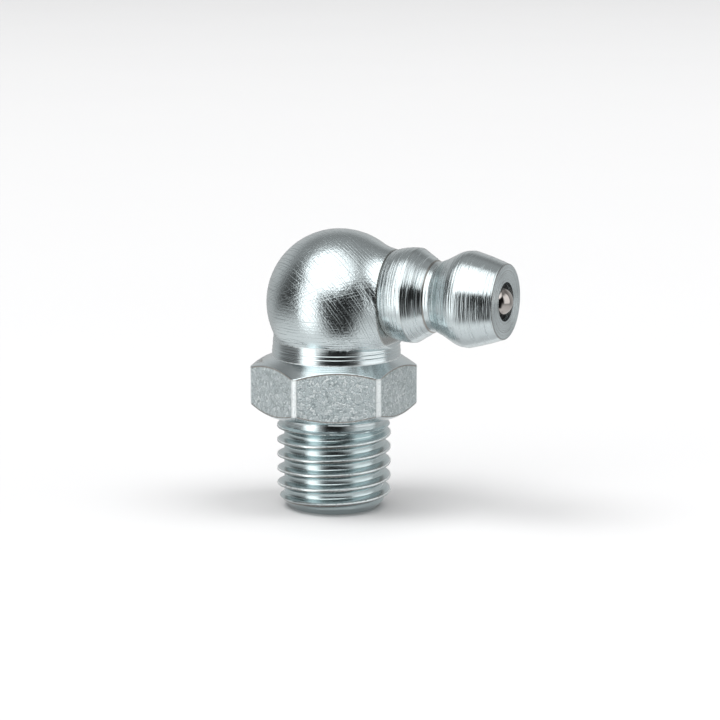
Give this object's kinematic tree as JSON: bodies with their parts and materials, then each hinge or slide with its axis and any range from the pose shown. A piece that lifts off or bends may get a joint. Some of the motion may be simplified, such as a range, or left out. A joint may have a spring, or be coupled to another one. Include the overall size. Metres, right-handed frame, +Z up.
{
  "type": "angled grease fitting",
  "caption": "Right-angle hydraulic grease fitting: threaded stem with hexagon, ball-shaped elbow and a pressed-in coupling head with a sprung check ball.",
  "frame": {"origin": "thread axis in the plane of the hexagon's underside, which is the face that seats on the greased part", "axes": "+Z up the stem away from the greased part, +X out along the coupling head, +Y completes the right-handed frame"},
  "size_m": [0.0182, 0.0114, 0.0192],
  "materials": {
    "body_steel": "zinc plated, clear passivated, turned",
    "head_steel": "zinc plated, clear passivated, turned",
    "ball_steel": "hardened and polished bearing steel",
    "spring_steel": "drawn spring wire"
  },
  "bodies": {
    "fitting": {"elbow_body": "body_steel", "coupling_head": "head_steel", "check_spring": "spring_steel"},
    "valve": {"check_ball": "ball_steel"}
  },
  "joints": [
    {"name": "check_ball_slide", "type": "slide", "parent": "fitting", "child": "valve", "axis": [-1, 0, 0], "range_m": [0, 0.0008], "stiffness_N_per_m": 300, "springref_m": -0.003, "deforming": ["check_spring"]}
  ]
}
